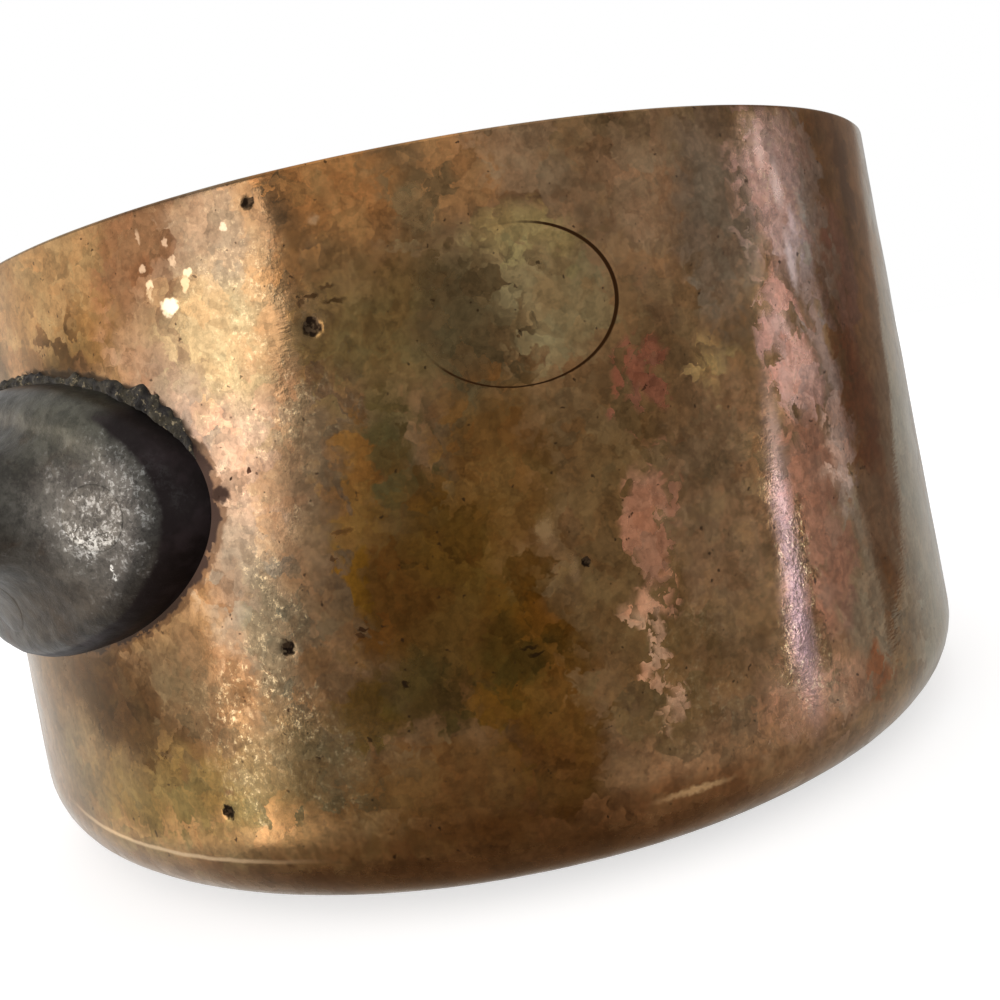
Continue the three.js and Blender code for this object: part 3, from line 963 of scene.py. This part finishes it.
def black_iron(start, place):
    """Colour, roughness and relief of the old casting."""
    _, y, z, arc, from_axis = unrolled(place)
    out = from_axis - PAN_RADIUS
    skin, worn, flecks = rubbed_iron(place, arc, z)

    # The shaft is greyer. The rounded side of the pad's lower flanks is painted dark as shade, with a
    # painted purplish sheen in patches
    aside = y.maths("ABSOLUTE", y, 0) * (2 / PAD_WIDE) - 0.5 * (z - PAD_HEIGHT) * (2 / PAD_TALL)
    shaft = blend(between(grain(place, 14, 3.0), 0.4, 0.6), paint(70, 67, 62), paint(86, 82, 75))
    skin = blend(between(out, 18, 45) * 0.7, skin, shaft)
    side_shade = between(out + 0.5 * grain(place, 2.5, 4.0), 5.7, 5.1) * between(aside, 0.25, 0.5)
    skin = blend(side_shade * 0.95, skin, paint(30, 22, 23))
    skin = blend(side_shade * between(grain(place, 5, 3.0), 0.5, 0.65) * 0.5, skin, paint(56, 46, 48))
    rough = 0.4 - 0.08 * worn + 0.12 * side_shade
    relief = 0.1 * flecks * (1 - 0.6 * side_shade) + 0.06 * grain(place, 2.0, 3.0)
    return skin, rough, relief


# The photograph's copper doesn't reflect the handle
iron_handle.visible_glossy = False
iron_handle.data.materials.append(metal_of("black_iron", black_iron, metallic=0.8))


# Crust
# Burnt grease and verdigris have gathered in the seam over the pad, as a lumpy bead that lies
# between iron and copper and is broadest at the shoulders.

# Where it runs, in degrees round the pad's oval, from the right end over the top
CRUST_FROM = 14
CRUST_TO = 166
CRUST_STEP = 0.4
SHOULDER = 38
SHOULDER_SPREAD = 16

# Its width, how far it reaches under the pad's edge, how proud it stands and how deep its back
# lies in the wall, then its points across and the steps over which its ends taper
CRUST_WIDE = 1.25
CRUST_UNDER = 0.6
CRUST_TALL = 0.65
CRUST_DEEP = 0.2
CRUST_ACROSS = 13
CRUST_TAPER = 20


def wobble(across, up, size, layer):
    """Smooth noise over the pad's oval, about -1 to 1, with lumps of this size."""
    return noise.noise((across / size, up / size, layer))


rings = []
steps = round((CRUST_TO - CRUST_FROM) / CRUST_STEP)
for step in range(steps + 1):
    turned = math.radians(mix(CRUST_FROM, CRUST_TO, step / steps))
    flat = Vector((math.cos(turned) / PAD_WIDE, math.sin(turned) / PAD_TALL)).normalized()
    along = PAD_WIDE / 2 * math.cos(turned)
    height = PAD_HEIGHT + PAD_TALL / 2 * math.sin(turned)
    ends = smooth(min(1, step / CRUST_TAPER, (steps - step) / CRUST_TAPER))
    from_shoulder = math.degrees(math.asin(math.sin(turned))) - SHOULDER
    broader = 1 + 0.6 * math.exp(-((from_shoulder / SHOULDER_SPREAD) ** 2))
    lump = 1 + 0.9 * wobble(along, height, 6, 3) + 0.35 * wobble(along, height, 1.6, 9)
    ragged = 1 + 0.45 * wobble(along, height, 1.5, 12) + 0.12 * wobble(along, height, 0.7, 2)
    wide = max(0.1, CRUST_WIDE * ends * lump * ragged * broader)
    tall = max(0.05, CRUST_TALL * ends * lump)
    ring = []
    for place in range(CRUST_ACROSS):
        share = place / (CRUST_ACROSS - 1)
        beyond = mix(-CRUST_UNDER, wide, share)
        across = along + flat.x * beyond
        up = height + flat.y * beyond
        grit = wobble(across, up, 1.4, 5) + 0.5 * wobble(across, up, 0.5, 7)
        stand = tall * math.sin(math.pi * share) ** 0.6 * max(0.1, 1 + grit)
        reach = math.sqrt(PAN_RADIUS ** 2 - across ** 2)
        ring.append((reach * (1 + stand / PAN_RADIUS), across * (1 + stand / PAN_RADIUS), up))
    for place in (CRUST_ACROSS - 1, 0):
        x, y, z = ring[place]
        ring.append((x * (1 - CRUST_DEEP / PAN_RADIUS), y * (1 - CRUST_DEEP / PAN_RADIUS), z))
    rings.append(np.array(ring))
points, faces = skinned(rings)
seam_crust = add_piece("seam_crust", points, faces, "iron")


def burnt_crust(start, place):
    """Colour, roughness and relief of the crust: black and olive brown, with pale grains."""
    small = grain(place, 0.9, 4.0, 0.7)
    skin = blend(between(grain(place, 2, 3.0), 0.4, 0.6), paint(26, 21, 17), paint(58, 52, 38))
    skin = blend(between(small, 0.57, 0.66) * 0.8, skin, paint(170, 154, 122))
    skin = blend(between(small, 0.46, 0.38) * 0.8, skin, paint(14, 11, 10))
    return skin, 0.6 + 0.2 * small, 0.4 * small


seam_crust.data.materials.append(metal_of("burnt_crust", burnt_crust, metallic=0.15))


# Rivets
# Three copper rivets hold the handle: low domed heads inside the pan, tinned over with the rest,
# and shanks through wall and pad whose tails were beaten into countersinks and filed flush.
RIVET_FROM_SIDE = 9.8
RIVET_FROM_BOTTOM = 8.5
SHANK = 3.3
HEAD = 7
HEAD_TALL = 3.4
HEAD_EDGE = 0.9
HEAD_STEPS = 12
HEAD_GAP = 0.02
COUNTERSINK = 1.5
TAIL_SLOPE = 0.3
RIVET_SIDES = 64

# How far from the pan's axis a ray starts that looks for the pad's front
PROBE_FROM = 200

# Rings of the filed tail: a share of its radius, and how far it stands out of the pad's front
TAIL_RINGS = [(1.0, -0.5), (1.0, -0.04), (0.965, 0.02), (0.9, 0.05), (0.75, 0.07), (0.5, 0.08),
              (0.25, 0.08), (0.02, 0.08)]

spread = math.asin((PAD_WIDE / 2 - RIVET_FROM_SIDE) / PAN_RADIUS)
lower = PAD_HEIGHT - PAD_TALL / 2 + RIVET_FROM_BOTTOM
RIVETS = [("rivet_left", spread, PAD_HEIGHT), ("rivet_right", -spread, PAD_HEIGHT),
          ("rivet_lower", 0, lower)]

handle_bm = bmesh.new()
handle_bm.from_mesh(iron_handle.data)
pad_front = BVHTree.FromBMesh(handle_bm)
handle_bm.free()


def front_of_pad(angle, across, rise, height):
    """How far from the pan's axis the pad's front lies, beside a rivet's axis."""
    along = Vector((math.cos(angle), math.sin(angle), 0))
    beside = Vector((-math.sin(angle), math.cos(angle), 0))
    start = along * (PROBE_FROM * MM) + beside * across * MM + Vector((0, 0, (height + rise) * MM))
    hit, _, _, _ = pad_front.ray_cast(start, -along)
    return hit.dot(along) / MM


def rivet_finish(start, place):
    """Tin over the head, and dark worn copper on the tail."""
    _, _, z, arc, from_axis = unrolled(place)
    tin_colour, tin_rough, tin_relief = wiped_tin(start, place)

    # The tail is as worn and dark as the pad round it, and a little warmer
    tail, _, flecks = rubbed_iron(place, arc, z)
    tail = times(tail, (1, 0.985, 0.96))
    outer = between(from_axis - PAN_RADIUS, 0, 1)
    skin = blend(outer, tin_colour, tail)
    rough = tin_rough + outer * (0.36 - tin_rough)
    return skin, rough, tin_relief + 0.08 * flecks


rivet_metal = metal_of("rivet_metal", rivet_finish, metallic=0.85)
angles = full_turn(RIVET_SIDES)

# Head and shank as they are turned: distances from the rivet's axis and from the pan's
dome_top = tin_front - HEAD_TALL
dome_edge = tin_front - HEAD_EDGE
head_seat = tin_front - HEAD_GAP
lathe = []
for turned in quarter_turn(HEAD_STEPS):
    along = dome_edge - (dome_edge - dome_top) * math.cos(turned)
    lathe.append((max(0.05, HEAD * math.sin(turned)), along))
lathe += [(HEAD, head_seat), (SHANK, head_seat), (SHANK, PAN_RADIUS + SEAT + PAD_FRONT - COUNTERSINK)]

for name, angle, height in RIVETS:
    # The head's seat follows the curve of the wall
    rows = []
    for radius, along in lathe:
        across = radius * np.cos(angles)
        seat = np.sqrt(head_seat ** 2 - across ** 2)
        reach = np.minimum(along, seat) if along < tin_front else np.full(RIVET_SIDES, along)
        rows.append((radius, reach))

    # The tail widens as its countersink is deep, and its end follows the front of the pad
    middle = front_of_pad(angle, 0, 0, height)
    tail_radius = SHANK + TAIL_SLOPE * (middle - PAN_RADIUS - SEAT - PAD_FRONT + COUNTERSINK)
    for share, proud in TAIL_RINGS:
        radius = tail_radius * share
        reach = [front_of_pad(angle, radius * math.cos(turned), radius * math.sin(turned), height)
                 for turned in angles]
        rows.append((radius, np.array(reach) + proud))
    rings = []
    for radius, reach in rows:
        across = radius * np.cos(angles)
        up = radius * np.sin(angles)
        x = reach * math.cos(angle) - across * math.sin(angle)
        y = reach * math.sin(angle) + across * math.cos(angle)
        rings.append(np.stack([x, y, height + up], 1))
    points, faces = skinned(rings)
    rivet = add_piece("copper_" + name, points, faces, "rivet", name)
    rivet.data.materials.append(rivet_metal)


# Camera
# It stands close to the pan, level with the middle of its wall, and leans over to its right. The
# shift puts the pan where the photograph's frame has it.
CAMERA_OUT = 182.7
CAMERA_HEIGHT = 58.6
CAMERA_TURN = math.radians(0.32)
CAMERA_DIP = math.radians(-0.88)
CAMERA_LEAN = math.radians(-10.96)
camera_data = bpy.data.cameras.new("camera")
camera_data.sensor_width = 36
camera_data.lens = 33.92
camera_data.shift_x = 0.049
camera_data.shift_y = -0.096
camera_data.clip_start = 0.01
camera = bpy.data.objects.new("camera", camera_data)
bpy.context.scene.collection.objects.link(camera)
outward = Vector((math.cos(NEAR_LINE), math.sin(NEAR_LINE), 0))
looking = Matrix.Rotation(-CAMERA_TURN, 3, "Z") @ -outward
looking = looking * math.cos(CAMERA_DIP) + Vector((0, 0, math.sin(CAMERA_DIP)))
upright = looking.to_track_quat("-Z", "Y").to_matrix()
turned = upright @ Matrix.Rotation(CAMERA_LEAN, 3, "Z")
camera.matrix_world = turned.to_4x4()
camera.location = outward * CAMERA_OUT * MM + Vector((0, 0, CAMERA_HEIGHT * MM))
bpy.context.scene.camera = camera


# Floor, studio and lights
# A plain pale floor under a white sky. Round the pan, hidden from the camera, stand a grey wall
# with a dark strip and a pale wall at its right end, a soft box at the left with a warm lamp
# beside it, and narrow lamps at the right. A dim glowing disc below the front edge is painted
# shade: the metal reflects it in place of the floor's shadow.

# Sizes and distances here are in metres
FLOOR_SIZE = 8.0
FLOOR_PAINT = 0.65
FLOOR_GLOW = 0.65
WALL_OUT = 1.25
LAMP_OUT = 1.15
SHEET_STEPS = 40

# The disc of painted shade: its radius, the radius in which it is whole, and how far out and down it
# lies
GROUND_RADIUS = 0.15
GROUND_FULL = 0.06
GROUND_OUT = 0.12
GROUND_DEPTH = 0.05
GROUND_SIDES = 48

# Where the grey wall ends and the pale wall starts: elevation, and azimuth to the right of the
# camera, in degrees. The dark wall stands before the grey wall's right end.
WALL_END = [(-45, 80), (-20, 98), (-15, 110), (-8, 119), (0, 124), (8, 133), (14, 137), (45, 150)]
WALL_LEFT = -70
WALL_RIGHT = 165
DARK_LEFT = 96


def aimed(azimuth, elevation, distance):
    """A place round the pan: azimuth in degrees to the right of the camera, and elevation."""
    turned = NEAR_LINE + math.radians(azimuth)
    level = distance * math.cos(math.radians(elevation))
    rise = distance * math.sin(math.radians(elevation))
    return Vector((level * math.cos(turned), level * math.sin(turned), CAMERA_HEIGHT * MM + rise))


def sheet(name, rows, distance, colour, strength):
    """A glowing part of a sphere round the pan, given by rows of (elevation, left and right azimuth)."""
    elevations, lefts, rights = np.array(rows, dtype=float).T
    stops = np.linspace(elevations[0], elevations[-1], SHEET_STEPS + 1)
    points = []
    for elevation in stops:
        left = np.interp(elevation, elevations, lefts)
        right = np.interp(elevation, elevations, rights)
        for step in range(SHEET_STEPS + 1):
            points.append(aimed(mix(left, right, step / SHEET_STEPS), elevation, distance))
    faces = []
    for row in range(SHEET_STEPS):
        for step in range(SHEET_STEPS):
            a = row * (SHEET_STEPS + 1) + step
            faces.append((a, a + 1, a + SHEET_STEPS + 2, a + SHEET_STEPS + 1))
    glow, start = fresh_material(name)
    glow.cycles.emission_sampling = "NONE"
    lit = start.node("Emission", {}, {"Color": colour, "Strength": strength})
    start.node("OutputMaterial", {}, {"Surface": lit})
    stood = meshed(name, points, faces)
    stood.data.materials.append(glow)
    stood.visible_camera = False


grey_rows = [(up, WALL_LEFT, end) for up, end in WALL_END]
dark_rows = [(up, DARK_LEFT, end - 0.1) for up, end in WALL_END[1:-1]] + [(45, DARK_LEFT, 149)]
pale_rows = [(up, end, WALL_RIGHT) for up, end in WALL_END]
sheet("grey_wall", grey_rows, WALL_OUT, (1, 1, 1, 1), 0.66)
sheet("dark_wall", dark_rows, WALL_OUT - 0.02, (1, 0.78, 0.66, 1), 0.36)
sheet("pale_wall", pale_rows, WALL_OUT + 0.01, (0.98, 1, 1, 1), 0.66)
sheet("soft_box", [(-30, -62, -58), (-16.5, -62, -49), (-4.7, -62, -39), (1, -61, -34),
                   (3, -56, -32.5), (6, -54, -30), (10, -48, -29), (25, -46, -28.5)],
      LAMP_OUT, (1, 0.93, 0.9, 1), 4.0)
sheet("side_box", [(-12, -110, -45), (25, -110, -45)], LAMP_OUT + 0.03, (1, 0.93, 0.85, 1), 2.1)
sheet("low_box", [(-30, -110, -45), (-12, -110, -45)], LAMP_OUT + 0.03, (1, 0.93, 0.85, 1), 1.4)
sheet("strip_light", [(-20, 66, 68.4), (-10, 68.6, 71), (-8.5, 69.6, 71.8)],
      LAMP_OUT, (0.9, 0.92, 1.06, 1), 6.5)
sheet("upper_strip", [(-8.5, 69.6, 71.6), (-4, 72.6, 74.4), (7, 78.6, 80.4), (15, 82.6, 84.4)],
      LAMP_OUT, (0.95, 0.93, 0.92, 1), 4)

ground_edge = [(GROUND_RADIUS * math.cos(turned), GROUND_RADIUS * math.sin(turned), 0)
               for turned in full_turn(GROUND_SIDES)]
# Painted shade: a dim glowing disc that the metal reflects in place of the floor's shadow
floor_shade_disc = meshed("reflected_floor_shade", ground_edge, [tuple(range(GROUND_SIDES))])
floor_shade_disc.location = outward * GROUND_OUT - Vector((0, 0, GROUND_DEPTH))
floor_shade_disc.visible_camera = False
floor_shade_glow, start = fresh_material("reflected_floor_shade")
floor_shade_glow.cycles.emission_sampling = "NONE"
x, y, _ = start.node("TexCoord", {}, {}, "Object").split()
from_middle = x.maths("SQRT", x * x + y * y, 0)
dim = start.node("Emission", {}, {"Color": (1, 0.75, 0.55, 1), "Strength": 0.3})
clear = start.node("BsdfTransparent", {}, {})
shown = between(from_middle, GROUND_RADIUS, GROUND_FULL)
faded = start.node("MixShader", {}, {0: shown, 1: clear, 2: dim})
start.node("OutputMaterial", {}, {"Surface": faded})
floor_shade_disc.data.materials.append(floor_shade_glow)

half = FLOOR_SIZE / 2
floor_corners = [(-half, -half, 0), (half, -half, 0), (half, half, 0), (-half, half, 0)]
floor = meshed("floor", floor_corners, [(0, 1, 2, 3)])

# The metal reflects sky and sheets instead of the floor
floor.visible_glossy = False
floor_paint, start = fresh_material("floor_paint")
matt = start.node("BsdfDiffuse", {}, {"Color": (FLOOR_PAINT, FLOOR_PAINT, FLOOR_PAINT, 1)})
bright = start.node("Emission", {}, {"Color": (1, 1, 1, 1), "Strength": FLOOR_GLOW})
both = start.node("AddShader", {}, {0: matt, 1: bright})
start.node("OutputMaterial", {}, {"Surface": both})
floor.data.materials.append(floor_paint)

sky = bpy.data.worlds.new("sky")
bpy.context.scene.world = sky
sky.use_nodes = True
sky.node_tree.nodes["Background"].inputs["Color"].default_value = (1, 1, 1, 1)
sky.node_tree.nodes["Background"].inputs["Strength"].default_value = 1
bpy.context.scene.view_settings.view_transform = "Standard"
